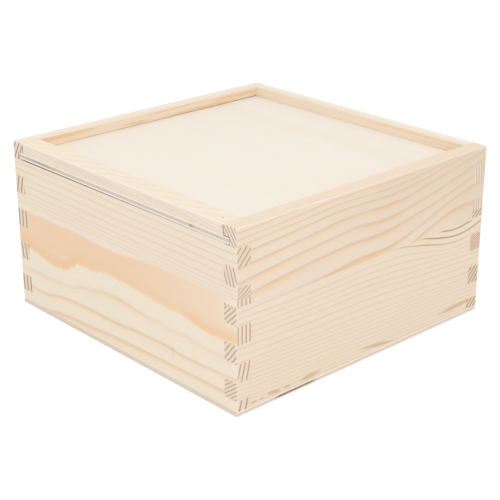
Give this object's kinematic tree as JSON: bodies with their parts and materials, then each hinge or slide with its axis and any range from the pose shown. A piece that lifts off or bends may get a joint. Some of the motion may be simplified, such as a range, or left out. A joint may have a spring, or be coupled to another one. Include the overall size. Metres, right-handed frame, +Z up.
{
  "type": "sliding-lid box",
  "caption": "Square pine box with finger-jointed corners and a plywood lid that slides in grooves inside the rim, for papers and keepsakes.",
  "frame": {"origin": "middle of the underside, where the box stands", "axes": "+Z up, -Y out of the front wall, the way the lid slides out, +X to the right as seen from the front"},
  "size_m": [0.2, 0.2, 0.1064],
  "materials": {
    "pine_boards": "bare sanded pine, pale with fine ochre grain lines",
    "heartwood_board": "bare sanded pine with a broad orange heartwood band",
    "rail_pine": "bare sanded pine, very pale",
    "lid_plywood": "bare sanded three-ply, cream face with a darker core",
    "bottom_plywood": "bare three-ply, greyish pink edge",
    "brad_steel": "plain bright steel, slightly dull"
  },
  "bodies": {
    "box": {"front_upper_board": "pine_boards", "front_lower_board": "heartwood_board", "right_upper_board": "pine_boards", "right_lower_board": "pine_boards", "back_upper_board": "pine_boards", "back_lower_board": "pine_boards", "left_upper_board": "pine_boards", "left_lower_board": "pine_boards", "bottom_panel": "bottom_plywood"},
    "lid": {"lid_panel": "lid_plywood", "lid_rail": "rail_pine", "rail_brad_left": "brad_steel", "rail_brad_middle": "brad_steel", "rail_brad_right": "brad_steel"}
  },
  "joints": [
    {"name": "lid_slide", "type": "slide", "parent": "box", "child": "lid", "axis": [0, -1, 0], "range_m": [0, 0.19]}
  ]
}
